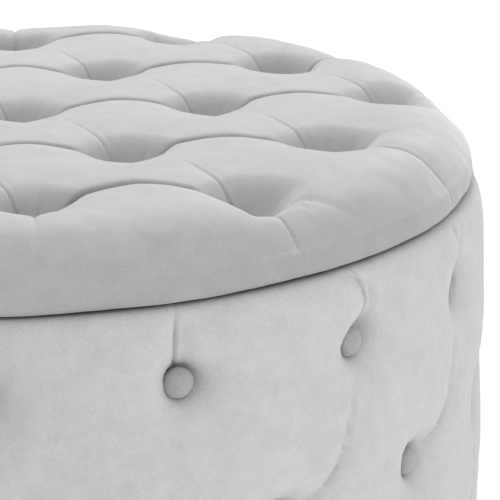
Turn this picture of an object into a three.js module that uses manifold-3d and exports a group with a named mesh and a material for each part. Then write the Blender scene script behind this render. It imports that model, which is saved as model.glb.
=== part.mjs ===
// Round button-tufted storage ottoman with a lift-off lid.
// Millimetres, +Z up. The origin is on the floor under the middle of the ottoman, and the front faces -Y.
//
// The base is a plywood drum: a base panel, a bottom and a top ring joined by posts, and a bent panel
// wrapped round them. Foam and a velvet cover go over the panel, and rows of covered buttons pull them in.
// The lid is a plywood board with foam and velvet over it, pulled down by its own buttons. A ring under
// the board drops into the drum's opening and keeps the lid in place.
import * as THREE from "three";
import { mergeVertices } from "three/addons/utils/BufferGeometryUtils.js";
import Module from "manifold-3d";

const wasm = await Module();
wasm.setup();

// ---------------------------------------------------------------- driving dimensions
const GAP = 0.3; // air between pieces that touch

const BODY_DIAMETER = 762;
const BODY_TOP = 370; // height of the padded rim that the lid rests on
const LID_INSET = 13.5; // from the body's side to the lid's
const LID_RISE = 57; // from the lid's underside to the crest of its cushion
const ROUND_SIDES = 48;

const FOOT = { height: 24, topRadius: 25, floorRadius: 20, count: 4, inset: 96, sides: 12 };
const FOOT_BORE = { radius: 3.4, headRadius: 7.5, headDepth: 13 };
const FOOT_SCREW = { radius: 2.5, headRadius: 6, headHeight: 4, grip: 9, sides: 6 };
const DUST_COVER = { thickness: 1, overlap: 7, screwHole: 4 };

const COVER_THICKNESS = 3;
const COVER_HEM = 32; // how far the wall cover turns in, under the base panel and inside the rim
const SHOULDER = { inset: 17, drop: 45 }; // the padded rim's rounding
const SKIRT_ROUND = 14; // the padded wall's rounding at its lower edge
const WALL_FOAM_THICKNESS = 20.4;
const RIM_FOAM_THICKNESS = 3;
const WALL_PANEL_THICKNESS = 4;

const BASE_PANEL_THICKNESS = 12;
const RING = { width: 30, thickness: 18 };
const POST = { count: 6, width: 40, inset: 1.5 };
const LINING_THICKNESS = 2;
const LINING_FLOOR_THICKNESS = 3.4;
const LINING_PANELS = 4;

const BUTTON = { diameter: 22.9, edge: 2, dome: 4.5, sides: 6 };
const TWINE_RADIUS = 1.5;
const TWINE_CLEARANCE = 1; // round the twine in the lid board
const WELL_CLEARANCE = 1.6; // round a button, in the cover and in the hole cut through the foam
const WALL_BUTTONS = { perRow: 16, topRowDrop: 56, rowPitch: 118, rows: 3, sunk: 9.5 };
const FIRST_BUTTON_DEG = 14.4; // from the front, towards +X
const TIE_BAND = { thickness: 2.4, height: 8 };

const LID_BUTTON_PITCH = 154.5; // along a row
const LID_ROW_PITCH = 132;
const LID_BUTTON_ROWS = [3, 4, 5, 4, 3]; // a triangular grid
const LID_BUTTON_SUNK = 27; // from the cushion's crest to the button's crown
const LID_BOARD = { thickness: 15, overhang: 17 }; // overhang is the padding round the board's edge
const LID_ROLL = { radius: 34, tuck: 4, tuckHeight: 14 };
const LID_HEM = 40;
const UNDERLINING = { thickness: 1, overlap: 12 };
const LID_REST_GAP = 0.6;
const LOCATING_RING = { width: 25, height: 20, clearance: 6 };
const RING_SCREW = { count: 6, radius: 2, headRadius: 4.5, headHeight: 2.6, grip: 11, clearance: 0.4, sides: 6 };

// ---------------------------------------------------------------- radii, from the outside in
const bodyRadius = BODY_DIAMETER / 2;
const foamOuter = bodyRadius - COVER_THICKNESS - GAP;
const foamInner = foamOuter - WALL_FOAM_THICKNESS;
const bandOuter = foamInner - GAP;
const bandInner = bandOuter - TIE_BAND.thickness;
const panelOuter = bandInner - GAP;
const panelInner = panelOuter - WALL_PANEL_THICKNESS;
const ringOuter = panelInner - GAP;
const ringInner = ringOuter - RING.width;
const liningOuter = ringInner - GAP;
const liningInner = liningOuter - LINING_THICKNESS;
const openingRadius = liningOuter - COVER_THICKNESS;
const hemInner = bodyRadius - SKIRT_ROUND - COVER_HEM;

// ---------------------------------------------------------------- heights, from the floor up
const dustBottom = FOOT.height + GAP;
const dustTop = dustBottom + DUST_COVER.thickness;
const skirtBottom = dustTop + GAP;
const baseBottom = skirtBottom + COVER_THICKNESS + GAP;
const baseTop = baseBottom + BASE_PANEL_THICKNESS;
const lowRingBottom = baseTop + GAP;
const lowRingTop = lowRingBottom + RING.thickness;
const rimFoamTop = BODY_TOP - COVER_THICKNESS - GAP;
const highRingTop = rimFoamTop - RIM_FOAM_THICKNESS - GAP;
const highRingBottom = highRingTop - RING.thickness;
const postBottom = lowRingTop + GAP;
const postTop = highRingBottom - GAP;
const hemBottom = BODY_TOP - COVER_HEM;

const underliningBottom = BODY_TOP + LID_REST_GAP;
const underliningTop = underliningBottom + UNDERLINING.thickness;
const lidCoverBottom = underliningTop + GAP;
const boardBottom = lidCoverBottom + COVER_THICKNESS + GAP;
const boardTop = boardBottom + LID_BOARD.thickness;
const lidTop = BODY_TOP + LID_RISE + UNDERLINING.thickness;
const lidRadius = bodyRadius - LID_INSET;
const boardRadius = lidRadius - LID_BOARD.overhang;
const lidHemInner = boardRadius - LID_HEM + LID_ROLL.tuck;

// ---------------------------------------------------------------- materials
const finish = (color, roughness, metalness = 0) =>
  new THREE.MeshStandardMaterial({ color, roughness, metalness });

const VELVET = finish(0xc9c9c9, 0.85);
const BUTTON_VELVET = finish(0xbdbdbd, 0.85);
const FOAM = finish(0xe8dfb8, 0.95);
const PLYWOOD = finish(0xc7a26c, 0.7);
const HARDBOARD = finish(0x8a6744, 0.8);
const LINING = finish(0x33343a, 0.9);
const DUST_CLOTH = finish(0x1b1b1d, 0.95);
const PLASTIC = finish(0x17171a, 0.5);
const STEEL = finish(0xb9bcc0, 0.35, 1);

// ---------------------------------------------------------------- shapes and solids
const ottoman = new THREE.Group();
const base = new THREE.Group();
const lid = new THREE.Group();
ottoman.add(base, lid);

// A solid of revolution about Z from [radius, height] points. The loop closes on itself or on the axis.
function turned(profile, sides = ROUND_SIDES) {
  const onAxis = profile[0][0] === 0 && profile.at(-1)[0] === 0;
  const loop = onAxis ? profile : [...profile, profile[0]];
  const area = loop.reduce((sum, [r, z], i) => {
    const [nextR, nextZ] = loop[(i + 1) % loop.length];
    return sum + r * nextZ - nextR * z;
  }, 0);
  const ordered = area > 0 ? loop : [...loop].reverse();
  const points = ordered.map(([r, z]) => new THREE.Vector2(r, z));
  return new THREE.LatheGeometry(points, sides).rotateX(Math.PI / 2);
}

const tube = (inner, outer, bottom, top) =>
  turned([[inner, bottom], [outer, bottom], [outer, top], [inner, top]]);

const disc = (radius, bottom, top) =>
  turned([[0, bottom], [radius, bottom], [radius, top], [0, top]]);

// Points on a quarter of an ellipse, from one angle to another, in degrees.
function arc(centreR, centreZ, radiusR, radiusZ, fromDeg, toDeg, steps) {
  return Array.from({ length: steps + 1 }, (_, i) => {
    const angle = THREE.MathUtils.degToRad(fromDeg + ((toDeg - fromDeg) * i) / steps);
    return [centreR + radiusR * Math.cos(angle), centreZ + radiusZ * Math.sin(angle)];
  });
}

// An upright rod, its axis on Z.
const rod = (radius, bottom, top, sides) =>
  new THREE.CylinderGeometry(radius, radius, top - bottom, sides)
    .rotateX(Math.PI / 2)
    .translate(0, 0, (top + bottom) / 2);

function solid(geometry) {
  const bare = geometry.clone();
  bare.deleteAttribute("normal");
  bare.deleteAttribute("uv");
  const merged = mergeVertices(bare, 1e-3);
  return new wasm.Manifold(
    new wasm.Mesh({
      numProp: 3,
      vertProperties: new Float32Array(merged.attributes.position.array),
      triVerts: new Uint32Array(merged.index.array),
    }),
  );
}

function geometryOf(shape) {
  const mesh = shape.getMesh();
  return new THREE.BufferGeometry()
    .setAttribute("position", new THREE.BufferAttribute(mesh.vertProperties, 3))
    .setIndex(new THREE.BufferAttribute(mesh.triVerts, 1));
}

const cut = (geometry, cutters) =>
  geometryOf(cutters.reduce((left, cutter) => left.subtract(solid(cutter)), solid(geometry)));

const common = (first, second) => geometryOf(solid(first).intersect(solid(second)));

const join = (geometries) =>
  geometryOf(geometries.map(solid).reduce((joined, next) => joined.add(next)));

function piece(group, name, geometry, material) {
  const mesh = new THREE.Mesh(geometry, material);
  mesh.name = name;
  group.add(mesh);
}

// ---------------------------------------------------------------- placing
// Turns something built upright on Z so that it points outwards from the wall at an angle from the front.
const outwards = (degrees, height) =>
  new THREE.Matrix4()
    .makeTranslation(0, 0, height)
    .multiply(new THREE.Matrix4().makeRotationZ(THREE.MathUtils.degToRad(degrees)))
    .multiply(new THREE.Matrix4().makeRotationX(Math.PI / 2));

// [x, y] of count points spread evenly round a circle, the first at an angle from +X.
const circlePoints = (count, radius, firstDeg) =>
  Array.from({ length: count }, (_, i) => {
    const angle = THREE.MathUtils.degToRad(firstDeg + (360 * i) / count);
    return [radius * Math.cos(angle), radius * Math.sin(angle)];
  });

const lidButtonPoints = LID_BUTTON_ROWS.flatMap((count, row) =>
  Array.from({ length: count }, (_, i) => [
    (i - (count - 1) / 2) * LID_BUTTON_PITCH,
    (row - (LID_BUTTON_ROWS.length - 1) / 2) * LID_ROW_PITCH,
  ]),
);

// Angles and heights of the wall's button rows. Every other row is half a step round.
const buttonStep = 360 / WALL_BUTTONS.perRow;
const wallRows = Array.from({ length: WALL_BUTTONS.rows }, (_, row) => ({
  height: BODY_TOP - WALL_BUTTONS.topRowDrop - row * WALL_BUTTONS.rowPitch,
  angles: Array.from(
    { length: WALL_BUTTONS.perRow },
    (_, i) => FIRST_BUTTON_DEG + (i + (row % 2) / 2) * buttonStep,
  ),
}));

// ---------------------------------------------------------------- buttons
const buttonRadius = BUTTON.diameter / 2;
const buttonDepth = BUTTON.edge + BUTTON.dome;
const wellRadius = buttonRadius + WELL_CLEARANCE;

// A covered button with its twine: the crown at the top, the twine's end at the bottom.
function button(twineEnd, crown) {
  const back = crown - buttonDepth;
  const head = turned(
    [[0, back], [buttonRadius, back], [buttonRadius, back + BUTTON.edge], [0, crown]],
    BUTTON.sides,
  );
  return join([head, rod(TWINE_RADIUS, twineEnd, back + BUTTON.edge, 4)]);
}

// What a button takes out of the cover and foam, and its twine out of the board.
const well = (bottom, top) => rod(wellRadius, bottom, top, BUTTON.sides);
const twineWay = (bottom, top) => rod(TWINE_RADIUS + TWINE_CLEARANCE, bottom, top, 4);

const wallCrown = bodyRadius - WALL_BUTTONS.sunk;
const lidCrown = lidTop - LID_BUTTON_SUNK;
const beyondWall = bodyRadius + SHOULDER.inset;
const beyondLid = lidTop + LID_ROLL.radius;

const onWall = (shape) =>
  wallRows.flatMap(({ height, angles }) =>
    angles.map((degrees) => shape.clone().applyMatrix4(outwards(degrees, height))),
  );
const onLid = (shape) => lidButtonPoints.map(([x, y]) => shape.clone().translate(x, y, 0));

// ---------------------------------------------------------------- base: frame
function addFeet() {
  const foot = turned(
    [
      [FOOT_BORE.headRadius, 0],
      [FOOT.floorRadius, 0],
      [FOOT.topRadius, FOOT.height],
      [FOOT_BORE.radius, FOOT.height],
      [FOOT_BORE.radius, FOOT_BORE.headDepth],
      [FOOT_BORE.headRadius, FOOT_BORE.headDepth],
    ],
    FOOT.sides,
  );
  const headTop = FOOT_BORE.headDepth - GAP;
  const screw = turned(
    [
      [0, headTop - FOOT_SCREW.headHeight],
      [FOOT_SCREW.headRadius, headTop - FOOT_SCREW.headHeight],
      [FOOT_SCREW.headRadius, headTop],
      [FOOT_SCREW.radius, headTop],
      [FOOT_SCREW.radius, baseBottom + FOOT_SCREW.grip],
      [0, baseBottom + FOOT_SCREW.grip],
    ],
    FOOT_SCREW.sides,
  );
  footPoints.forEach(([x, y], i) => {
    piece(base, `foot_${i + 1}`, foot.clone().translate(x, y, 0), PLASTIC);
    piece(base, `foot_screw_${i + 1}`, screw.clone().translate(x, y, 0), STEEL);
  });
}

const footPoints = circlePoints(FOOT.count, bodyRadius - FOOT.inset, 180 / FOOT.count);

const atFeet = (radius, bottom, top) =>
  footPoints.map(([x, y]) => rod(radius, bottom - 1, top + 1, FOOT_SCREW.sides).translate(x, y, 0));

function addFloor() {
  const dust = disc(hemInner + DUST_COVER.overlap, dustBottom, dustTop);
  const dustHoles = atFeet(DUST_COVER.screwHole, dustBottom, dustTop);
  piece(base, "dust_cover", cut(dust, dustHoles), DUST_CLOTH);

  const panel = disc(ringOuter, baseBottom, baseTop);
  const pilotHoles = atFeet(FOOT_SCREW.radius + GAP, baseBottom, baseTop);
  piece(base, "base_panel", cut(panel, pilotHoles), PLYWOOD);
}

function addDrum() {
  piece(base, "bottom_ring", tube(ringInner, ringOuter, lowRingBottom, lowRingTop), PLYWOOD);
  piece(base, "top_ring", tube(ringInner, ringOuter, highRingBottom, highRingTop), PLYWOOD);
  const depth = RING.width - 2 * POST.inset;
  const middle = (ringInner + ringOuter) / 2;
  for (let i = 0; i < POST.count; i++) {
    const post = new THREE.BoxGeometry(depth, POST.width, postTop - postBottom)
      .translate(middle, 0, (postTop + postBottom) / 2)
      .rotateZ((2 * Math.PI * i) / POST.count);
    piece(base, `post_${i + 1}`, post, PLYWOOD);
  }
  piece(base, "wall_panel", tube(panelInner, panelOuter, baseBottom, highRingTop), HARDBOARD);
}

// A floor board and four bent panels that butt together.
function addLining() {
  const floorTop = baseTop + GAP + LINING_FLOOR_THICKNESS;
  piece(base, "lining_floor", disc(liningOuter, baseTop + GAP, floorTop), LINING);
  const wall = tube(liningInner, liningOuter, floorTop + GAP, hemBottom - GAP);
  const middle = (bodyRadius + GAP) / 2;
  const quarter = new THREE.BoxGeometry(bodyRadius, bodyRadius, BODY_TOP * 2).translate(middle, middle, 0);
  for (let i = 0; i < LINING_PANELS; i++) {
    const panel = common(wall, quarter.clone().rotateZ((2 * Math.PI * i) / LINING_PANELS));
    piece(base, `lining_wall_${i + 1}`, panel, LINING);
  }
}

// ---------------------------------------------------------------- base: padding and cover
// The padded wall's outline from its lower edge to its rim, moved in by an offset.
const wallOutline = (offset) => [
  ...arc(
    bodyRadius - SKIRT_ROUND,
    skirtBottom + SKIRT_ROUND,
    SKIRT_ROUND - offset,
    SKIRT_ROUND - offset,
    -90,
    0,
    1,
  ),
  ...arc(
    bodyRadius - SHOULDER.inset,
    BODY_TOP - SHOULDER.drop,
    SHOULDER.inset - offset,
    SHOULDER.drop - offset,
    0,
    90,
    3,
  ),
];

function addWallFoam() {
  const outline = wallOutline(COVER_THICKNESS + GAP);
  const profile = [
    [foamInner, baseBottom],
    ...outline,
    [ringInner, rimFoamTop],
    [ringInner, highRingTop + GAP],
    [foamInner, highRingTop + GAP],
  ];
  piece(base, "wall_foam", cut(turned(profile), onWall(well(bandInner, beyondWall))), FOAM);
}

function addWallCover() {
  const profile = [
    [hemInner, skirtBottom],
    ...wallOutline(0),
    [openingRadius, BODY_TOP],
    [openingRadius, hemBottom],
    [liningOuter, hemBottom],
    [liningOuter, BODY_TOP - COVER_THICKNESS],
    ...wallOutline(COVER_THICKNESS).reverse(),
    [hemInner, skirtBottom + COVER_THICKNESS],
  ];
  piece(base, "wall_cover", cut(turned(profile), onWall(well(foamInner, beyondWall))), VELVET);
}

// Each row of buttons is tied to one strip of webbing, tacked round the wall panel behind the foam.
function addWallButtons() {
  const flatInner = bandInner * Math.cos(Math.PI / ROUND_SIDES); // the band is narrowest at its flats
  const one = button(flatInner + TIE_BAND.thickness / 2, wallCrown);
  wallRows.forEach(({ height, angles }, row) => {
    const band = tube(
      bandInner,
      bandOuter,
      height - TIE_BAND.height / 2,
      height + TIE_BAND.height / 2,
    );
    const buttons = angles.map((degrees) => one.clone().applyMatrix4(outwards(degrees, height)));
    piece(base, `wall_buttons_row_${row + 1}`, join([band, ...buttons]), BUTTON_VELVET);
  });
}

// ---------------------------------------------------------------- lid
// The cushion's outline from the underside of its edge to the crest, moved in by an offset.
function lidOutline(offset) {
  const centreR = lidRadius - LID_ROLL.radius;
  const centreZ = lidTop - LID_ROLL.radius;
  const radius = LID_ROLL.radius - offset;
  const tuckZ = lidCoverBottom + LID_ROLL.tuckHeight;
  return [
    ...arc(
      lidRadius - LID_ROLL.tuck - LID_ROLL.tuckHeight / 2,
      tuckZ,
      LID_ROLL.tuck + LID_ROLL.tuckHeight / 2 - offset,
      LID_ROLL.tuckHeight - offset,
      -90,
      0,
      1,
    ),
    ...arc(centreR, centreZ, radius, radius, 0, 90, 4),
  ];
}

const ringScrewPoints = circlePoints(
  RING_SCREW.count,
  openingRadius - LOCATING_RING.clearance - LOCATING_RING.width / 2,
  180 / RING_SCREW.count,
);
const locatingTop = underliningBottom - GAP;
const locatingBottom = locatingTop - LOCATING_RING.height;
const screwHole = RING_SCREW.radius + RING_SCREW.clearance;

const atRingScrews = (radius, bottom, top) =>
  ringScrewPoints.map(([x, y]) => rod(radius, bottom, top, RING_SCREW.sides).translate(x, y, 0));

function addLidBoard() {
  const holes = [
    ...onLid(twineWay(boardBottom - 1, boardTop + 1)),
    ...atRingScrews(screwHole, boardBottom - 1, boardTop + 1),
  ];
  piece(lid, "lid_board", cut(disc(boardRadius, boardBottom, boardTop), holes), PLYWOOD);
}

function addLidFoam() {
  const profile = [
    [0, boardTop + GAP],
    [boardRadius + GAP, boardTop + GAP],
    [boardRadius + GAP, boardBottom],
    ...lidOutline(COVER_THICKNESS + GAP),
    [0, lidTop - COVER_THICKNESS - GAP],
  ];
  piece(lid, "lid_foam", cut(turned(profile), onLid(well(boardTop, beyondLid))), FOAM);
}

function addLidCover() {
  const profile = [
    [0, lidTop - COVER_THICKNESS],
    ...lidOutline(COVER_THICKNESS).reverse(),
    [lidHemInner, lidCoverBottom + COVER_THICKNESS],
    [lidHemInner, lidCoverBottom],
    ...lidOutline(0),
    [0, lidTop],
  ];
  piece(lid, "lid_cover", cut(turned(profile), onLid(well(lidCrown, beyondLid))), VELVET);
}

function addLidButtons() {
  const one = button(boardBottom + GAP, lidCrown);
  lidButtonPoints.forEach(([x, y], i) => {
    const name = `lid_button_${String(i + 1).padStart(2, "0")}`;
    piece(lid, name, one.clone().translate(x, y, 0), BUTTON_VELVET);
  });
}

function addUnderside() {
  const sheet = disc(lidHemInner + UNDERLINING.overlap, underliningBottom, underliningTop);
  const sheetHoles = atRingScrews(screwHole, underliningBottom - 1, underliningTop + 1);
  piece(lid, "lid_underlining", cut(sheet, sheetHoles), LINING);

  const outer = openingRadius - LOCATING_RING.clearance;
  const ring = tube(outer - LOCATING_RING.width, outer, locatingBottom, locatingTop);
  const ringHoles = [
    ...atRingScrews(screwHole, locatingBottom - 1, locatingTop + 1),
    ...atRingScrews(RING_SCREW.headRadius + GAP, locatingBottom - 1, locatingBottom + RING_SCREW.headHeight + GAP),
  ];
  piece(lid, "locating_ring", cut(ring, ringHoles), PLYWOOD);

  const screw = turned(
    [
      [0, locatingBottom],
      [RING_SCREW.headRadius, locatingBottom],
      [RING_SCREW.headRadius, locatingBottom + RING_SCREW.headHeight],
      [RING_SCREW.radius, locatingBottom + RING_SCREW.headHeight],
      [RING_SCREW.radius, boardBottom + RING_SCREW.grip],
      [0, boardBottom + RING_SCREW.grip],
    ],
    RING_SCREW.sides,
  );
  ringScrewPoints.forEach(([x, y], i) => {
    piece(lid, `ring_screw_${i + 1}`, screw.clone().translate(x, y, 0), STEEL);
  });
}

addFeet();
addFloor();
addDrum();
addLining();
addWallFoam();
addWallCover();
addWallButtons();
addLidBoard();
addLidFoam();
addLidCover();
addLidButtons();
addUnderside();

export default ottoman;
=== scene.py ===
# Round button-tufted storage ottoman in pale grey velvet, with a loose padded lid.
# Everything is in metres in the CAD frame: the floor is z = 0 and the front faces -Y.
import math

import bmesh
import bpy
import numpy as np
from mathutils import Matrix, Vector


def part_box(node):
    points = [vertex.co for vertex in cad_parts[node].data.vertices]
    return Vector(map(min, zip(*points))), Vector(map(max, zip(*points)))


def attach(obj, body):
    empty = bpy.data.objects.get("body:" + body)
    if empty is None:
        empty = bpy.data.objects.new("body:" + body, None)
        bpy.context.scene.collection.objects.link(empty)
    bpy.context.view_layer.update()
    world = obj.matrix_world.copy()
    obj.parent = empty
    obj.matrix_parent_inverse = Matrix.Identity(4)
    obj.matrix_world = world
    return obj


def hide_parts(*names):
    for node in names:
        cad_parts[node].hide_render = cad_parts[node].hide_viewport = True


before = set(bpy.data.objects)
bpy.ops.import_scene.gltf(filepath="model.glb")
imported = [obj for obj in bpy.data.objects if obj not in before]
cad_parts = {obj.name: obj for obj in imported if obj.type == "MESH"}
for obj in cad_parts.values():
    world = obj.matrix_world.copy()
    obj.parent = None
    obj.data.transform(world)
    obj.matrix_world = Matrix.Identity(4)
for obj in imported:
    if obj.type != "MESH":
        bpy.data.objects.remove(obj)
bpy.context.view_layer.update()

MM = 0.001

# ---------------------------------------------------------------- sizes, from the CAD
BODY_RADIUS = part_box("wall_cover")[1].x
BODY_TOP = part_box("wall_cover")[1].z
BODY_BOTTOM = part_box("wall_cover")[0].z
LID_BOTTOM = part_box("lid_cover")[0].z
LID_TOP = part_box("lid_cover")[1].z
BOARD_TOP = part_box("lid_board")[1].z
LINING_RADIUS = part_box("lining_floor")[1].x
LINING_TOP = BODY_TOP - 32.3 * MM  # how far the lining ends below the rim

LID_PITCH = 154.5 * MM  # between buttons along a row
LID_ROW_PITCH = 132 * MM
LID_ROWS = (3, 4, 5, 4, 3)  # buttons in each row, from the front
OUTER_RING = 250 * MM  # lid buttons farther out than this have a pleat over the edge
WALL_PER_ROW = 16
FIRST_BUTTON = math.radians(14.4)  # from the front, towards +X
WALL_ROWS = [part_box(f"wall_buttons_row_{n}") for n in (1, 2, 3)]
WALL_ROW_HEIGHTS = [(low.z + high.z) / 2 for low, high in WALL_ROWS]


def lid_button_points():
    """Middle of each lid button, row by row from the front."""
    points = []
    for row, count in enumerate(LID_ROWS):
        for i in range(count):
            points.append(((i - (count - 1) / 2) * LID_PITCH, (row - 2) * LID_ROW_PITCH))
    return np.array(points)


# ---------------------------------------------------------------- camera, floor and light
CAMERA_PLACE = (-0.0262, -1.7, 0.850)
CAMERA_LENS = 152.1  # mm, for the sensor's width
SENSOR_WIDTH = 36
CAMERA_TURN = 0.1248  # to the right, in radians
CAMERA_TILT = 0.3161  # downwards
CAMERA_ROLL = -0.0083
BELOW, LEVEL, ABOVE = 1.1, 0.5, 0.75  # how bright the surroundings are
LIGHTS = [
    ("key", (1.1, -2.4, 2.9), 2.4, 12),
    ("back", (0.2, 2.2, 2.6), 2.0, 58),
    ("side", (2.7, -2.6, 0.7), 1.4, 28),
]  # place, width and power
LIGHT_AIM = (0, 0, 0.3)
FLOOR_RADIUS = 14


def make_camera():
    data = bpy.data.cameras.new("camera")
    data.sensor_width = SENSOR_WIDTH
    data.lens = CAMERA_LENS
    data.clip_end = 50
    camera = bpy.data.objects.new("camera", data)
    bpy.context.collection.objects.link(camera)
    right = Vector((math.cos(CAMERA_TURN), -math.sin(CAMERA_TURN), 0))
    ahead = Vector((math.sin(CAMERA_TURN), math.cos(CAMERA_TURN), 0))
    look = ahead * math.cos(CAMERA_TILT) - Vector((0, 0, math.sin(CAMERA_TILT)))
    up = right.cross(look)
    side = right * math.cos(CAMERA_ROLL) + up * math.sin(CAMERA_ROLL)
    top = up * math.cos(CAMERA_ROLL) - right * math.sin(CAMERA_ROLL)
    axes = Matrix((side, top, -look)).transposed().to_4x4()
    axes.translation = Vector(CAMERA_PLACE)
    camera.matrix_world = axes
    bpy.context.scene.camera = camera


def area_light(name, place, size, power):
    data = bpy.data.lights.new(name, "AREA")
    data.shape = "DISK"
    data.size = size
    data.energy = power
    light = bpy.data.objects.new(name, data)
    light.location = place
    light.rotation_euler = (Vector(LIGHT_AIM) - Vector(place)).to_track_quat("-Z", "Y").to_euler()
    bpy.context.collection.objects.link(light)


def make_studio():
    """Surroundings that get brighter upwards from level and downwards, a pale floor and three lamps."""
    scene = bpy.context.scene
    scene.view_settings.view_transform = "Standard"
    world = bpy.data.worlds.new("studio")
    scene.world = world
    world.use_nodes = True
    nodes, links = world.node_tree.nodes, world.node_tree.links
    place = nodes.new("ShaderNodeTexCoord")
    split = nodes.new("ShaderNodeSeparateXYZ")
    ramp = nodes.new("ShaderNodeValToRGB")
    level = nodes.new("ShaderNodeMapRange")
    level.inputs["From Min"].default_value = -1
    links.new(place.outputs["Generated"], split.inputs["Vector"])
    links.new(split.outputs["Z"], level.inputs["Value"])
    links.new(level.outputs["Result"], ramp.inputs["Fac"])
    links.new(ramp.outputs["Color"], nodes["Background"].inputs["Color"])
    ramp.color_ramp.elements[0].color = (BELOW, BELOW, BELOW, 1)
    ramp.color_ramp.elements[0].position = 0.35
    ramp.color_ramp.elements[1].color = (ABOVE, ABOVE, ABOVE, 1)
    ramp.color_ramp.elements[1].position = 0.95
    middle = ramp.color_ramp.elements.new(0.55)
    middle.color = (LEVEL, LEVEL, LEVEL, 1)
    bm = bmesh.new()
    bmesh.ops.create_circle(bm, cap_ends=True, segments=96, radius=FLOOR_RADIUS)
    floor = finish_mesh(bm, "studio_floor", [floor_paint()])
    floor.visible_diffuse = False
    floor.visible_glossy = False
    for name, place, size, power in LIGHTS:
        area_light(name, place, size, power)


# ---------------------------------------------------------------- meshes
def finish_mesh(bm, name, materials, smooth=False):
    """Makes an object of a bmesh, its place in its mesh."""
    mesh = bpy.data.meshes.new(name)
    bm.to_mesh(mesh)
    bm.free()
    for material in materials:
        mesh.materials.append(material)
    if smooth:
        mesh.shade_smooth()
    piece = bpy.data.objects.new(name, mesh)
    bpy.context.collection.objects.link(piece)
    return piece


def points_of(piece):
    places = np.empty(len(piece.data.vertices) * 3, np.float32)
    piece.data.vertices.foreach_get("co", places)
    return places.reshape(-1, 3).astype(float)


def close_up(piece):
    """Joins the two ends of a sheet that has been wrapped round, and points its faces outwards."""
    bm = bmesh.new()
    bm.from_mesh(piece.data)
    edge = [v for v in bm.verts if v.is_boundary]
    bmesh.ops.remove_doubles(bm, verts=edge, dist=0.1 * MM)
    bmesh.ops.recalc_face_normals(bm, faces=bm.faces[:])
    bm.to_mesh(piece.data)
    bm.free()


def move_points(piece, places):
    piece.data.vertices.foreach_set("co", places.astype(np.float32).ravel())
    piece.data.update()


# ---------------------------------------------------------------- materials
def new_material(name, roughness, metallic=0.0, colour=(0.5, 0.5, 0.5)):
    material = bpy.data.materials.new(name)
    material.use_nodes = True
    nodes, links = material.node_tree.nodes, material.node_tree.links
    shader = nodes["Principled BSDF"]
    shader.inputs["Base Color"].default_value = (*colour, 1)
    shader.inputs["Roughness"].default_value = roughness
    shader.inputs["Metallic"].default_value = metallic
    return material, nodes, links, shader


def floor_paint():
    return new_material("studio_floor_paint", 0.9, colour=(0.93, 0.93, 0.93))[0]


def add_node(nodes, kind, **settings):
    node = nodes.new(kind)
    for key, value in settings.items():
        if hasattr(node, key):
            setattr(node, key, value)
        else:
            node.inputs[key].default_value = value
    return node


def new_group(name, inputs, outputs):
    """An empty shader node group, with its sockets given as (name, kind, default)."""
    group = bpy.data.node_groups.new(name, "ShaderNodeTree")
    for label, kind, default in inputs:
        group.interface.new_socket(label, in_out="INPUT", socket_type=kind).default_value = default
    for label, kind in outputs:
        group.interface.new_socket(label, in_out="OUTPUT", socket_type=kind)
    nodes, links = group.nodes, group.links
    return group, nodes, links, nodes.new("NodeGroupInput").outputs, nodes.new("NodeGroupOutput").inputs


MIX_DARK, MIX_LIGHT, MIX_COLOUR = 6, 7, 2  # the Mix node's colour sockets
PATCH_SCALE = 60.0  # brushed patches for each metre
PILE_SCALE = 950.0  # tufts of pile for each metre


def two_tone(nodes, links, fac, dark, light, low, high):
    """Mixes two colours over part of a mask's range, and gives the colour's socket."""
    spread = add_node(nodes, "ShaderNodeMapRange")
    spread.inputs["From Min"].default_value = low
    spread.inputs["From Max"].default_value = high
    links.new(fac, spread.inputs["Value"])
    mix = add_node(nodes, "ShaderNodeMix", data_type="RGBA")
    links.new(spread.outputs["Result"], mix.inputs["Factor"])
    links.new(dark, mix.inputs[MIX_DARK])
    links.new(light, mix.inputs[MIX_LIGHT])
    return mix.outputs[MIX_COLOUR]


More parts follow.
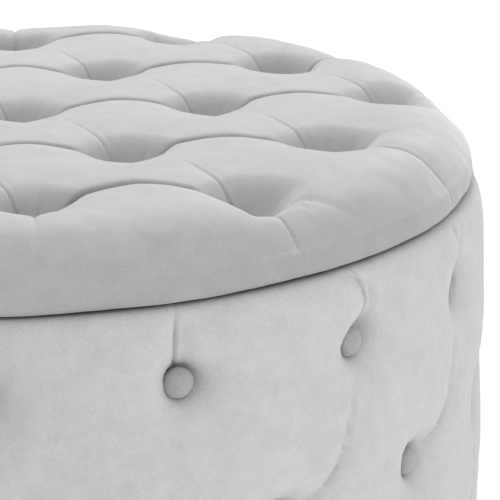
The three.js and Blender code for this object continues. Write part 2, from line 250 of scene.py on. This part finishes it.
def make_pile_group():
    """Short pile: fine speckle over soft brushed patches, with painted shade in hollows and painted shade,
    standing in for the nap's shading, on surfaces turned towards a given way.
    """
    group, nodes, links, given, wanted = new_group(
        "velvet_pile",
        [
            ("Light", "NodeSocketColor", (0.5, 0.5, 0.5, 1)),
            ("Dark", "NodeSocketColor", (0.4, 0.4, 0.4, 1)),
            ("Painted Hollow Shade", "NodeSocketFloat", 1.0),
            ("Painted Hollow Reach", "NodeSocketFloat", 0.04),
            ("Painted Shade Way", "NodeSocketVector", (0, 0, 0)),
            ("Painted Shade Depth", "NodeSocketFloat", 0.0),
        ],
        [("Color", "NodeSocketColor"), ("Normal", "NodeSocketVector")],
    )
    place = add_node(nodes, "ShaderNodeTexCoord")
    patches = add_node(nodes, "ShaderNodeTexNoise", Scale=PATCH_SCALE, Detail=4.0, Roughness=0.65)
    pile = add_node(nodes, "ShaderNodeTexNoise", Scale=PILE_SCALE, Detail=2.0, Roughness=0.7)
    for texture in (patches, pile):
        links.new(place.outputs["Object"], texture.inputs["Vector"])
    blend = add_node(nodes, "ShaderNodeMix", data_type="FLOAT", Factor=0.62)
    links.new(patches.outputs["Fac"], blend.inputs["A"])
    links.new(pile.outputs["Fac"], blend.inputs["B"])
    colour = two_tone(nodes, links, blend.outputs["Result"], given["Dark"], given["Light"], 0.34, 0.66)
    # painted shade: an occlusion mask darkens the colour in hollows, creases and gaps, where real shade
    # falls
    painted_hollow_shade = add_node(nodes, "ShaderNodeAmbientOcclusion", samples=8)
    links.new(given["Painted Hollow Reach"], painted_hollow_shade.inputs["Distance"])
    depth = add_node(nodes, "ShaderNodeMath", operation="POWER")
    links.new(painted_hollow_shade.outputs["AO"], depth.inputs[0])
    links.new(given["Painted Hollow Shade"], depth.inputs[1])
    # painted shade: the colour darkens as the surface turns towards the given way, standing in for the
    # shading of the velvet's nap
    facing = add_node(nodes, "ShaderNodeNewGeometry")
    lean = add_node(nodes, "ShaderNodeVectorMath", operation="DOT_PRODUCT")
    links.new(facing.outputs["Normal"], lean.inputs[0])
    links.new(given["Painted Shade Way"], lean.inputs[1])
    turned = add_node(nodes, "ShaderNodeMath", operation="MULTIPLY", use_clamp=True)
    links.new(lean.outputs["Value"], turned.inputs[0])
    links.new(given["Painted Shade Depth"], turned.inputs[1])
    left = add_node(nodes, "ShaderNodeMath", operation="SUBTRACT")
    left.inputs[0].default_value = 1.0
    links.new(turned.outputs["Value"], left.inputs[1])
    # both kinds of painted shade, multiplied into the pile's colour
    shade = add_node(nodes, "ShaderNodeMath", operation="MULTIPLY")
    links.new(depth.outputs["Value"], shade.inputs[0])
    links.new(left.outputs["Value"], shade.inputs[1])
    dim = add_node(nodes, "ShaderNodeVectorMath", operation="SCALE")
    links.new(colour, dim.inputs[0])
    links.new(shade.outputs["Value"], dim.inputs["Scale"])
    links.new(dim.outputs["Vector"], wanted["Color"])
    bump = add_node(nodes, "ShaderNodeBump", Strength=0.4, Distance=0.0005)
    links.new(pile.outputs["Fac"], bump.inputs["Height"])
    links.new(bump.outputs["Normal"], wanted["Normal"])
    return group


def make_grain_group():
    """A colour broken up by noise, stretched along a way, with a little relief."""
    group, nodes, links, given, wanted = new_group(
        "grain",
        [
            ("Dark", "NodeSocketColor", (0.4, 0.4, 0.4, 1)),
            ("Light", "NodeSocketColor", (0.5, 0.5, 0.5, 1)),
            ("Stretch", "NodeSocketVector", (1, 1, 1)),
            ("Scale", "NodeSocketFloat", 100.0),
            ("Relief", "NodeSocketFloat", 0.0003),
        ],
        [("Color", "NodeSocketColor"), ("Mask", "NodeSocketFloat"), ("Normal", "NodeSocketVector")],
    )
    place = add_node(nodes, "ShaderNodeTexCoord")
    pull = add_node(nodes, "ShaderNodeVectorMath", operation="MULTIPLY")
    links.new(place.outputs["Object"], pull.inputs[0])
    links.new(given["Stretch"], pull.inputs[1])
    noise = add_node(nodes, "ShaderNodeTexNoise", Detail=5.0, Roughness=0.6)
    links.new(pull.outputs["Vector"], noise.inputs["Vector"])
    links.new(given["Scale"], noise.inputs["Scale"])
    colour = two_tone(nodes, links, noise.outputs["Fac"], given["Dark"], given["Light"], 0.32, 0.68)
    links.new(colour, wanted["Color"])
    links.new(noise.outputs["Fac"], wanted["Mask"])
    bump = add_node(nodes, "ShaderNodeBump", Strength=0.6)
    links.new(noise.outputs["Fac"], bump.inputs["Height"])
    links.new(given["Relief"], bump.inputs["Distance"])
    links.new(bump.outputs["Normal"], wanted["Normal"])
    return group


PILE = make_pile_group()
GRAIN = make_grain_group()


def velvet(name, light, dark, sheen, painted_hollow_shade, painted_shade_way=(0, 0, 0), painted_shade_depth=0.0):
    """Cloth with short pile, with painted shade in its hollows (how strong and how wide) and painted shade
    of a given depth on surfaces turned towards a given way.
    """
    material, nodes, links, shader = new_material(name, 0.88)
    pile = nodes.new("ShaderNodeGroup")
    pile.node_tree = PILE
    pile.inputs["Light"].default_value = (*light, 1)
    pile.inputs["Dark"].default_value = (*dark, 1)
    # painted shade: the darkening in hollows and on surfaces turned one way
    pile.inputs["Painted Hollow Shade"].default_value = painted_hollow_shade[0]
    pile.inputs["Painted Hollow Reach"].default_value = painted_hollow_shade[1]
    pile.inputs["Painted Shade Way"].default_value = Vector(painted_shade_way).normalized() if any(painted_shade_way) else painted_shade_way
    pile.inputs["Painted Shade Depth"].default_value = painted_shade_depth
    links.new(pile.outputs["Color"], shader.inputs["Base Color"])
    links.new(pile.outputs["Normal"], shader.inputs["Normal"])
    shader.inputs["Sheen Weight"].default_value = sheen
    shader.inputs["Sheen Roughness"].default_value = 0.5
    shader.inputs["Specular IOR Level"].default_value = 0.2
    return material


def grained(name, dark, light, roughness, scale, stretch=(1, 1, 1), relief=0.0003, metallic=0.0, patchy=0.1):
    """Wood, board, cloth, plastic or steel: grain in the colour, the relief and the gloss."""
    material, nodes, links, shader = new_material(name, roughness, metallic)
    grain = nodes.new("ShaderNodeGroup")
    grain.node_tree = GRAIN
    grain.inputs["Dark"].default_value = (*dark, 1)
    grain.inputs["Light"].default_value = (*light, 1)
    grain.inputs["Stretch"].default_value = stretch
    grain.inputs["Scale"].default_value = scale
    grain.inputs["Relief"].default_value = relief
    links.new(grain.outputs["Color"], shader.inputs["Base Color"])
    links.new(grain.outputs["Normal"], shader.inputs["Normal"])
    gloss = add_node(nodes, "ShaderNodeMapRange")
    gloss.inputs["To Min"].default_value = max(0.05, roughness - patchy)
    gloss.inputs["To Max"].default_value = min(1.0, roughness + patchy)
    links.new(grain.outputs["Mask"], gloss.inputs["Value"])
    links.new(gloss.outputs["Result"], shader.inputs["Roughness"])
    return material


# ---------------------------------------------------------------- outlines swept round the ottoman
def smooth_outline(points, spacing=1.0 * MM, rounds=3):
    """Evenly spaced [radius, height] points along a rounded line through these corners."""
    line = np.array(points, float)
    for _ in range(rounds):
        near, far = line[:-1], line[1:]
        cut = np.stack([0.75 * near + 0.25 * far, 0.25 * near + 0.75 * far], 1).reshape(-1, 2)
        line = np.vstack([line[:1], cut, line[-1:]])
    run = np.r_[0, np.cumsum(np.linalg.norm(np.diff(line, axis=0), axis=1))]
    steps = np.linspace(0, run[-1], int(run[-1] / spacing) + 1)
    return steps, np.stack([np.interp(steps, run, line[:, k]) for k in (0, 1)], 1)


def along_outline(outline, distance):
    """Radius, height and outward normal of an outline at these distances along it."""
    steps, line = outline
    slope = np.gradient(line, steps, axis=0)
    radius, height, dr, dz = (
        np.interp(distance, steps, values) for values in (line[:, 0], line[:, 1], slope[:, 0], slope[:, 1])
    )
    size = np.hypot(dr, dz)
    return radius, height, -dz / size, dr / size


def wavy(x, y, z, seed, size):
    """Smooth pseudo-random waves from -1 to 1, about this size."""
    rng = np.random.default_rng(seed)
    total = np.zeros_like(x)
    for _ in range(9):
        way = rng.normal(size=3)
        way /= np.linalg.norm(way)
        turns = (x * way[0] + y * way[1] + z * way[2]) * 2 * math.pi / size * rng.uniform(0.6, 1.5)
        total += np.sin(turns + rng.uniform(0, 6.3))
    return total / 4


def part(values):
    """Holds values between 0 and 1."""
    return np.clip(values, 0, 1)


def creases(distance, lines):
    """How deep parallel creases are at these distances; each line has its place, depth and width."""
    return sum(depth * np.exp(-abs(distance - place) / width) for place, depth, width in lines)


def step_down(distance, depth, width):
    """A full depth up to distance 0 that fades beyond it."""
    return depth * np.exp(-np.maximum(distance, 0) / width)


def from_line(px, py, start, end):
    """Where points lie against a line: how far along it from 0 to 1, and how far to its left."""
    dx, dy = end[0] - start[0], end[1] - start[1]
    length = math.hypot(dx, dy)
    along = ((px - start[0]) * dx + (py - start[1]) * dy) / length**2
    left = (-(px - start[0]) * dy + (py - start[1]) * dx) / length
    return along, left


# ---------------------------------------------------------------- lid cover
LID_CREST = LID_TOP - 1.5 * MM
LID_OUTLINE = smooth_outline(
    [
        (0, LID_CREST - 4 * MM),
        (0.200, LID_CREST - 4 * MM),
        (0.270, LID_CREST - 3 * MM),
        (0.317, LID_CREST - 0.5 * MM),
        (0.343, LID_CREST - 10 * MM),
        (0.359, LID_CREST - 26 * MM),
        (0.3685, LID_BOTTOM + 15 * MM),
        (0.3695, LID_BOTTOM + 4 * MM),
        (0.368, LID_BOTTOM - 0.8 * MM),
        (0.358, LID_BOTTOM - 0.9 * MM),
        (0.3145, LID_BOTTOM),
    ]
)
LID_REACH = LID_OUTLINE[0][-1]
LID_SEAM = LID_REACH - 46 * MM  # along the cover from its middle to its lower edge
LID_FINENESS = 7  # how many times the flat sheet's triangles are halved
LID_RINGS = 58
ARCH_BOW = (39, 29, 27, 27, 18)  # mm, how far each row's folds bow towards the back
ARCH_REACH = 0.85 * LID_ROW_PITCH  # how far from its fold a bow is felt
ARCH_PEAK = 0.46  # how far along its fold each bow is deepest
PIT_NEAR = (1.25, 1.2)  # how much narrower and shorter the pits are on their front side
PIT_FLOOR, PIT_WALL = 7 * MM, 44 * MM  # how wide a pit's flat floor and its wall are
BOWL_DEPTH = 22 * MM
DRAW_DEPTH, DRAW_REACH = 12 * MM, 96 * MM  # the wider, softer draw towards a button
OVER_BOARD = 1.2 * MM  # the least height of the cover over the board
FOLD_NEAR = (11 * MM, 5 * MM)  # depth and width of a fold's front side
FOLD_FAR = (9 * MM, 1.4 * MM)  # and of its back side
FOLD_SOFT = (2 * MM, 16 * MM)
LEAN_CREASES = ((0, 2.6 * MM, 1.5 * MM), (-6 * MM, 1.6 * MM, 1.3 * MM), (0, 2.0 * MM, 11 * MM))
PLEAT_CREASES = ((0, 2.6 * MM, 1.3 * MM), (6 * MM, 1.2 * MM, 1.3 * MM), (0, 3.2 * MM, 12 * MM))
FAN_CREASES = ((0, 3.6 * MM, 1.5 * MM), (0, 2.0 * MM, 7 * MM))
FANS = ((0.55, 52 * MM), (0.95, 70 * MM))  # slant and length of the short folds beside a pleat
FOLD_GATHER, LEAN_GATHER, PLEAT_GATHER = 14 * MM, 12 * MM, 14 * MM  # where points are drawn to a line
PLEAT_SHOWS = (0.25, 1.0, 0.8, 0.9, 1.0, 0.7, 1.0, 0.8, 0.9, 0.7, 1.0, 0.8)


def lid_sheet(fineness, rings):
    """A flat sheet: triangles that follow the rows of buttons, then rings of squares out to the hem."""
    bm = bmesh.new()
    bmesh.ops.create_circle(bm, cap_ends=True, cap_tris=True, segments=6, radius=2 * LID_PITCH)
    turn = min(math.atan2(v.co.y, v.co.x) % (math.pi / 3) for v in bm.verts if v.co.length > LID_PITCH)
    bmesh.ops.rotate(bm, verts=bm.verts[:], matrix=Matrix.Rotation(-turn, 3, "Z"))
    bmesh.ops.scale(bm, verts=bm.verts[:], vec=(1, LID_ROW_PITCH / (LID_PITCH * math.sin(math.pi / 3)), 1))
    for _ in range(fineness):
        bmesh.ops.subdivide_edges(bm, edges=bm.edges[:], cuts=1, use_grid_fill=True)
    rim = [e for e in bm.edges if e.is_boundary]
    made = bmesh.ops.extrude_edge_only(bm, edges=rim)["geom"]
    outer = [v for v in made if isinstance(v, bmesh.types.BMVert)]
    for vert in outer:
        vert.co = vert.co.normalized() * LID_REACH
    outside = set(outer)
    spokes = [e for e in bm.edges if (e.verts[0] in outside) != (e.verts[1] in outside)]
    bmesh.ops.subdivide_edges(bm, edges=spokes, cuts=rings, use_grid_fill=True)
    return bm


def gather(distance, width, least=0.4):
    """Draws points within a width of a fold nearer to it, so that the fold has more of them."""
    return distance * (least + (1 - least) * np.clip(abs(distance) / width, 0, 1))


def lid_edges():
    """Pairs of neighbouring lid buttons: along the rows, and from each one to its back left neighbour."""
    buttons = lid_button_points()
    rows, leans = [], []
    for i, a in enumerate(buttons):
        for b in buttons[i + 1:]:
            across, back = b - a
            if abs(back) < 1 * MM and abs(across) < LID_PITCH * 1.1:
                rows.append((a, b, round(a[1] / LID_ROW_PITCH) + 2))
            elif abs(back - LID_ROW_PITCH) < 1 * MM and -LID_PITCH * 0.6 < across < 0:
                leans.append((a, b))
    return rows, leans


def gather_lid(x, y, rows, leans):
    """Draws the flat sheet's points towards the folds between buttons."""
    x, y = x.copy(), y.copy()
    for a, b, _ in rows:
        along, left = from_line(x, y, a, b)
        held = part(np.minimum(along, 1 - along) * 8) * (abs(left) < FOLD_GATHER)
        y += (gather(left, FOLD_GATHER) - left) * held
    for a, b in leans:
        way = (b - a) / np.linalg.norm(b - a)
        along, left = from_line(x, y, a, b)
        held = part(np.minimum(along, 1 - along) * 8) * (abs(left) < LEAN_GATHER)
        shift = (gather(left, LEAN_GATHER) - left) * held
        x, y = x - way[1] * shift, y + way[0] * shift
    return x, y


def lid_folds(x, y, rows, leans):
    """How deep the folds between buttons are, and how far the ones along the rows bow to the back."""
    pull = np.zeros_like(x)
    bow = np.zeros_like(x)
    for a, b, row in rows:
        along, left = from_line(x, y, a, b)
        near = (along > 0) & (along < 1) & (abs(left) < ARCH_REACH)
        t = part(along)
        rising = (1 - t / ARCH_PEAK) ** 2.3
        falling = abs((t - ARCH_PEAK) / (1 - ARCH_PEAK)) ** 1.6
        arch = 1 - np.where(t < ARCH_PEAK, rising, falling)
        fall = np.cos(part(abs(left) / ARCH_REACH) * math.pi / 2) ** 2
        bow += np.where(near, arch * fall * ARCH_BOW[row] * MM, 0)
        ends = part(np.minimum(along, 1 - along) * 9)
        front = step_down(-left, *FOLD_NEAR)
        back = step_down(left, *FOLD_FAR) + step_down(left, *FOLD_SOFT)
        pull += np.where(near, ends * np.where(left < 0, front, back), 0)
    for a, b in leans:
        along, left = from_line(x, y, a, b)
        near = (along > 0) & (along < 1) & (abs(left) < 50 * MM)
        ends = part(along * 9) * part(1.15 - 1.75 * along)
        pull += np.where(near, ends * creases(left, LEAN_CREASES), 0)
    return pull, bow


def lid_pits(x, y, y_flat):
    """How deep the pits at the buttons are, and the relief of the little gathers round them."""
    pull = np.zeros_like(x)
    relief = np.zeros_like(x)
    for i, (bx, by) in enumerate(lid_button_points()):
        r = np.hypot(x - bx, y - by)
        turn = np.arctan2(y - by, x - bx)
        beyond = part(np.sign(bx) * (x - bx) / (10 * MM)) * (math.hypot(bx, by) > OUTER_RING)
        front = 1 / (1 + np.exp(np.clip((y_flat - by) / ((0.8 + 5 * beyond) * MM), -40, 40)))
        lopsided = r + front * (np.hypot((x - bx) * PIT_NEAR[0], (y_flat - by) * PIT_NEAR[1]) - r)
        bowl = BOWL_DEPTH * (0.5 + 0.5 * np.cos(part((lopsided - PIT_FLOOR) / PIT_WALL) * math.pi))
        pull += bowl + DRAW_DEPTH * part(1 - lopsided / DRAW_REACH) ** 1.7
        ring = np.exp(-(((r - 24 * MM) / (13 * MM)) ** 2))
        gathers = np.sin(turn * 17 + i) + 0.6 * np.sin(turn * 29 + 2.3 * i)
        relief += 0.45 * MM * ring * gathers * (1 - front)
    return pull, relief


def lid_pleats(reach, angle):
    """How deep the pleats over the edge are, with the angles drawn towards them."""
    pull = np.zeros_like(reach)
    outer = [(bx, by) for bx, by in lid_button_points() if math.hypot(bx, by) > OUTER_RING]
    outer.sort(key=lambda p: (math.atan2(p[1], p[0]) + math.pi / 2 + 0.1) % (2 * math.pi))
    for shows, (bx, by) in zip(PLEAT_SHOWS, outer):
        home = math.hypot(bx, by)
        off = ((angle - math.atan2(by, bx) + math.pi) % (2 * math.pi) - math.pi) * reach
        draw = part((reach - home) / (18 * MM)) * (abs(off) < PLEAT_GATHER)
        moved = off + (gather(off, PLEAT_GATHER) - off) * draw
        angle = angle + (moved - off) / np.maximum(reach, 1 * MM)
        fade = part((LID_SEAM + 4 * MM - reach) / (90 * MM)) ** 0.7
        start = part((reach - home) / (14 * MM))
        pull += shows * start * fade * creases(moved, PLEAT_CREASES)
        for slant, length in FANS:
            beside = (moved - slant * (reach - home) - 4 * MM) / math.hypot(1, slant)
            run = (reach - home) / length
            seen = part(run * 5) * part(1 - run) * (reach > home) * (abs(off) < 90 * MM)
            pull += shows * seen * creases(beside, FAN_CREASES)
    return pull, angle


def shape_lid(flat):
    """Where the cover's points go, from their places on the flat sheet."""
    rows, leans = lid_edges()
    x, y_flat = gather_lid(flat[:, 0], flat[:, 1], rows, leans)
    pull, bow = lid_folds(x, y_flat, rows, leans)
    y = y_flat + bow
    pits, sag = lid_pits(x, y, y_flat)
    reach = np.hypot(x, y)
    pleats, angle = lid_pleats(reach, np.arctan2(y, x))
    pull = (pull + pits + pleats) * part((LID_SEAM - reach) / (30 * MM))
    loose = part((LID_SEAM - reach) / (20 * MM))
    sag += loose * (0.9 * MM * wavy(x, y, 0 * x, 5, 0.11) + 0.3 * MM * wavy(x, y, 0 * x, 6, 0.035))
    lift = sag - pull
    radius, height, out, up = along_outline(LID_OUTLINE, reach)
    r = radius + out * lift
    edge = np.exp(-(((reach - LID_SEAM) / (16 * MM)) ** 2))
    wander = 0.6 * MM * (1 + wavy(np.cos(angle) * 0.37, np.sin(angle) * 0.37, 0 * x, 8, 0.16))
    z = height + up * lift + edge * wander
    # the pits end just over the board
    inside = part((LID_SEAM - 20 * MM - reach) / (10 * MM))
    z += inside * (np.maximum(z, BOARD_TOP + OVER_BOARD) - z)
    return np.stack([np.cos(angle) * r, np.sin(angle) * r, z], 1)


def make_lid_cover(material):
    bm = lid_sheet(LID_FINENESS, LID_RINGS)
    bmesh.ops.recalc_face_normals(bm, faces=bm.faces[:])
    if bm.faces[0].normal.z < 0:
        bmesh.ops.reverse_faces(bm, faces=bm.faces[:])
    cover = finish_mesh(bm, "lid_velvet", [material], smooth=True)
    move_points(cover, shape_lid(points_of(cover)))
    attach(cover, "lid")
    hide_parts("lid_cover", "lid_foam")


# ---------------------------------------------------------------- wall cover
WALL_OUTLINE = smooth_outline(
    [
        (LINING_RADIUS - 3 * MM, LINING_TOP + 0.5 * MM),
        (LINING_RADIUS - 3 * MM, BODY_TOP - 8 * MM),
        (LINING_RADIUS - 1 * MM, BODY_TOP - 1 * MM),
        (0.330, BODY_TOP),
        (0.358, BODY_TOP + 0.4 * MM),
        (0.3688, BODY_TOP - 0.4 * MM),
        (0.3745, BODY_TOP - 6 * MM),
        (0.379, BODY_TOP - 22 * MM),
        (0.381, BODY_TOP - 46 * MM),
        (0.381, BODY_TOP - 100 * MM),
        (0.381, BODY_BOTTOM + 60 * MM),
        (0.381, BODY_BOTTOM + 14 * MM),
        (0.378, BODY_BOTTOM + 3 * MM),
        (0.367, BODY_BOTTOM),
        (0.336, BODY_BOTTOM),
    ]
)
STEP = 2 * math.pi / WALL_PER_ROW  # between the buttons of a row
LEAN_SHOWS = (0.1, 1.0, 1.0, 0.8, 0.6, 1.0, 0.7, 0.9, 1.0, 0.5, 0.8, 1.0, 0.6, 0.9, 0.7, 0.5)
COLUMN_GATHER = 14 * MM
PIT_LEFT, PIT_RIGHT, PIT_UPRIGHT = 1.5, 0.75, 1.15  # how much narrower the wall's pits are that way
DEEPEST_PIT = 19 * MM
TOP_PLEAT = ((0, 4.0 * MM, 1.5 * MM), (6.5 * MM, 3.6 * MM, 1.5 * MM))
HEM_PLEAT = ((0, 3.0 * MM, 1.5 * MM), (6.5 * MM, 2.7 * MM, 1.5 * MM))
PLEAT_SOFT = ((3 * MM, 3.0 * MM, 14 * MM),)
LEAN_BOW = {-1: 33 * MM, 1: -10 * MM}  # how far the folds to the left and the right bow
LEAN_DEPTH = {-1: 1.0, 1: 0.15}
WALL_COLUMNS = 48  # of squares for each button of a row
WALL_SQUARE = 3.4 * MM
COVER_STARTS = 0.350  # inside this radius the cover lies flat on the rim and under the base
BUTTON_SINK = 6 * MM


def wall_across(u, angle):
    """How far round the wall points lie from an angle, in metres."""
    return ((u - angle + math.pi) % (2 * math.pi) - math.pi) * BODY_RADIUS


def wall_pit(x, y):
    """How deep the cover is drawn in round a button, at places to its right and above it."""
    lopsided = np.hypot(x * np.where(x < 0, PIT_LEFT, PIT_RIGHT), y * PIT_UPRIGHT)
    pit = step_down(lopsided - 9 * MM, 14 * MM, 8.5 * MM)
    dimple = 5 * MM * np.exp(-(((x - 10 * MM) ** 2 + (y + 6 * MM) ** 2) / (26 * MM) ** 2))
    return pit + dimple + 3.5 * MM * part(1 - np.hypot(x, y) / (75 * MM)) ** 2


def top_pleat(x, y, rise, i):
    """The pleat from a button of the top row up to the rim, with two short slanted folds beside it."""
    t = part(y / rise)
    shown = part(y / (10 * MM)) * part((1.15 - t) * 2) * (y < rise + 4 * MM)
    pull = shown * (creases(x, PLEAT_SOFT) + creases(x, TOP_PLEAT))
    drop = rise - y
    beginning = part(drop / (8 * MM)) * part((34 * MM - drop) / (20 * MM)) * (abs(x) < 60 * MM)
    for slant in (0.35, 0.7) if i else ():
        beside = x + 9 * MM - slant * drop
        pull += beginning * 2.2 * MM * np.exp(-abs(beside) / (2 * MM))
    swing = (-3 if i == 0 else 11 + 3 * math.sin(2.1 * i)) * MM
    held = np.cos(x / (50 * MM) * math.pi / 2) ** 2
    bow = np.where((y > 0) & (abs(x) < 50 * MM), np.sin(math.pi * t) * swing * held, 0)
    return pull, bow


def hem_pleat(x, y, fall):
    """The pleat from a button of the lowest row down to the hem."""
    t = part(-y / fall)
    shown = part(-y / (10 * MM)) * part((1.1 - t) * 2)
    return shown * (creases(x, PLEAT_SOFT) + creases(x, HEM_PLEAT))


def wall_lean(x, y, side, down, shows):
    """The bowed fold from a button to its neighbour in the row below: -1 is to the left."""
    t, left = from_line(x, y, (0, 0), (side * STEP / 2 * BODY_RADIUS, down))
    near = (t > 0) & (t < 1) & (abs(left) < 80 * MM)
    left = left - np.sin(math.pi * part(t) ** 1.35) ** 0.8 * LEAN_BOW[side]
    ends = part(np.minimum((t - 0.16) * 5, (1 - t) * 6))
    lip = step_down(left, 4.0 * MM, 2.4 * MM) * step_down(-left, 1, 6 * MM)
    depth = lip + creases(left, ((8 * MM, 1.2 * MM, 2.2 * MM), (0, 3.0 * MM, 15 * MM)))
    return np.where(near, ends * shows * LEAN_DEPTH[side] * depth, 0)


def shape_wall(u, z):
    """New angles, and how far the cover is pulled in, at these angles from the front and heights."""
    rise = BODY_TOP - WALL_ROW_HEIGHTS[0]
    for i in range(2 * WALL_PER_ROW):
        off = wall_across(u, FIRST_BUTTON + i * STEP / 2)
        u = u + np.where(abs(off) < COLUMN_GATHER, gather(off, COLUMN_GATHER) - off, 0) / BODY_RADIUS
    pull = np.zeros_like(u)
    bow = np.zeros_like(u)
    for row, height in enumerate(WALL_ROW_HEIGHTS):
        for i in range(WALL_PER_ROW):
            x, y = wall_across(u, FIRST_BUTTON + (i + (row % 2) / 2) * STEP), z - height
            pull += wall_pit(x, y)
            if row == 0:
                pleat, swing = top_pleat(x, y, rise, i)
                pull += pleat
                bow += swing
            if row == 2:
                pull += hem_pleat(x, y, height - BODY_BOTTOM)
            else:
                shows = LEAN_SHOWS[(i + 5 * row) % WALL_PER_ROW]
                for side in (-1, 1):
                    pull += wall_lean(x, y, side, WALL_ROW_HEIGHTS[row + 1] - height, shows)
    sag = 0.7 * MM * wavy(np.sin(u) * 0.38, np.cos(u) * 0.38, z, 11, 0.12)
    return u + bow / BODY_RADIUS, np.minimum(pull - sag, DEEPEST_PIT)


def make_wall_cover(material):
    length = WALL_OUTLINE[0][-1]
    columns, rows = WALL_COLUMNS * WALL_PER_ROW, int(length / WALL_SQUARE)
    bm = bmesh.new()
    bmesh.ops.create_grid(bm, x_segments=columns, y_segments=rows, size=0.5)
    cover = finish_mesh(bm, "wall_velvet", [material], smooth=True)
    flat = points_of(cover) + 0.5
    radius, z, out, up = along_outline(WALL_OUTLINE, flat[:, 1] * length)
    u, pull = shape_wall(flat[:, 0] * 2 * math.pi + FIRST_BUTTON, z)
    loose = part((radius - COVER_STARTS) / (12 * MM)) * part((z - BODY_BOTTOM) / (14 * MM))
    r = radius - pull * loose
    move_points(cover, np.stack([np.sin(u) * r, -np.cos(u) * r, z], 1))
    close_up(cover)
    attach(cover, "base")
    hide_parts("wall_cover", "wall_foam")


# ---------------------------------------------------------------- buttons
BUTTON_OUTLINE = [
    (0, 0),
    (3.2, -0.25),
    (6.2, -1.1),
    (8.8, -2.6),
    (10.6, -4.6),
    (11.4, -6.6),
    (11.0, -8.6),
    (8.5, -9.6),
    (0, -10),
]  # mm, the crown at the top


def button_mesh():
    """One domed covered button, its crown at the origin and facing up."""
    bm = bmesh.new()
    verts = [bm.verts.new((r * MM, 0, z * MM)) for r, z in BUTTON_OUTLINE]
    edges = [bm.edges.new(pair) for pair in zip(verts, verts[1:])]
    bmesh.ops.spin(
        bm, geom=verts + edges, cent=(0, 0, 0), axis=(0, 0, 1), dvec=(0, 0, 0),
        angle=2 * math.pi, steps=40, use_merge=True, use_duplicate=False,
    )
    bmesh.ops.remove_doubles(bm, verts=bm.verts[:], dist=1e-6)
    bmesh.ops.recalc_face_normals(bm, faces=bm.faces[:])
    mesh = bpy.data.meshes.new("button_pattern")
    bm.to_mesh(mesh)
    bm.free()
    return mesh


def placed_copies(mesh, placings):
    """A bmesh that holds a copy of a mesh at each placing."""
    whole = bmesh.new()
    for placing in placings:
        copy = mesh.copy()
        copy.transform(placing)
        whole.from_mesh(copy)
        bpy.data.meshes.remove(copy)
    return whole


def facing(place, way, spin=0.0):
    """Turns +Z to face a way, and moves to a place."""
    turn = Vector((0, 0, 1)).rotation_difference(Vector(way)).to_matrix() @ Matrix.Rotation(spin, 3, "Z")
    placing = turn.to_4x4()
    placing.translation = Vector(place)
    return placing


def make_buttons(material):
    pattern = button_mesh()
    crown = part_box("lid_button_01")[1].z
    for i, (x, y) in enumerate(lid_button_points()):
        name = f"lid_button_{i + 1:02d}"
        bm = placed_copies(pattern, [facing((x, y, crown), (0, 0, 1), i)])
        button = finish_mesh(bm, name + "_velvet", [material], smooth=True)
        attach(button, "lid")
        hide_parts(name)
    crown = BODY_RADIUS - BUTTON_SINK
    for row, height in enumerate(WALL_ROW_HEIGHTS):
        placings = []
        for i in range(WALL_PER_ROW):
            angle = FIRST_BUTTON + (i + (row % 2) / 2) * STEP
            way = Vector((math.sin(angle), -math.cos(angle), 0))
            placings.append(facing(way * crown + Vector((0, 0, height)), way, i))
        name = f"wall_buttons_row_{row + 1}"
        buttons = finish_mesh(placed_copies(pattern, placings), name + "_velvet", [material], smooth=True)
        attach(buttons, "base")
        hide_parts(name)


# ---------------------------------------------------------------- carried-over parts
def repaint(names, material):
    for name in names:
        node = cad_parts[name]
        for spot in node.material_slots:
            spot.material = material


def numbered(name, count):
    return [f"{name}_{n}" for n in range(1, count + 1)]


make_camera()
make_studio()
# painted shade: the lid and the wall are covered in one velvet, and the lid's copy has darker tones as
# painted shade, besides painted shade in its hollows and on surfaces turned to the front, right and down
make_lid_cover(
    velvet(
        "velvet_on_lid_painted_darker",
        light=(0.52, 0.52, 0.526),
        dark=(0.41, 0.41, 0.416),
        sheen=0.8,
        painted_hollow_shade=(0.42, 0.045),
        painted_shade_way=(0.85, -0.4, -0.35),
        painted_shade_depth=0.28,
    )
)
# painted shade in the hollows of the wall's cover and of the buttons, as on the lid
make_wall_cover(velvet("velvet_on_wall", (0.62, 0.62, 0.626), (0.49, 0.49, 0.496), 0.35, (0.45, 0.03)))
make_buttons(velvet("velvet_on_buttons", (0.44, 0.44, 0.445), (0.31, 0.31, 0.315), 0.35, (0.3, 0.02)))

repaint(
    ["base_panel", "bottom_ring", "top_ring", "lid_board", "locating_ring"] + numbered("post", 6),
    grained("poplar_plywood", (0.42, 0.29, 0.17), (0.62, 0.47, 0.31), 0.62, 30, (1, 9, 30), 0.0002),
)
repaint(
    ["wall_panel"],
    grained("tempered_hardboard", (0.16, 0.095, 0.055), (0.25, 0.16, 0.10), 0.55, 420, relief=0.0001),
)
repaint(
    ["lining_floor", "lid_underlining"] + numbered("lining_wall", 4),
    grained(
        "grey_lining_cloth",
        (0.16, 0.16, 0.165),
        (0.25, 0.25, 0.255),
        0.9,
        700,
        stretch=(1, 1, 0.35),
        relief=0.0002,
        patchy=0.05,
    ),
)
repaint(
    ["dust_cover"],
    grained("black_dust_cloth", (0.018, 0.018, 0.019), (0.045, 0.045, 0.047), 0.92, 900, patchy=0.05),
)
repaint(
    numbered("foot", 4),
    grained("black_foot_plastic", (0.018, 0.018, 0.018), (0.03, 0.03, 0.03), 0.45, 350, relief=0.00008),
)
repaint(
    numbered("foot_screw", 4) + numbered("ring_screw", 6),
    grained(
        "zinc_screw_steel",
        (0.45, 0.45, 0.44),
        (0.66, 0.66, 0.65),
        0.35,
        600,
        relief=0.00004,
        metallic=1.0,
    ),
)
repaint(
    ["wall_foam", "lid_foam"],
    grained("cut_foam", (0.70, 0.64, 0.45), (0.82, 0.77, 0.60), 0.95, 500, relief=0.0004, patchy=0.04),
)
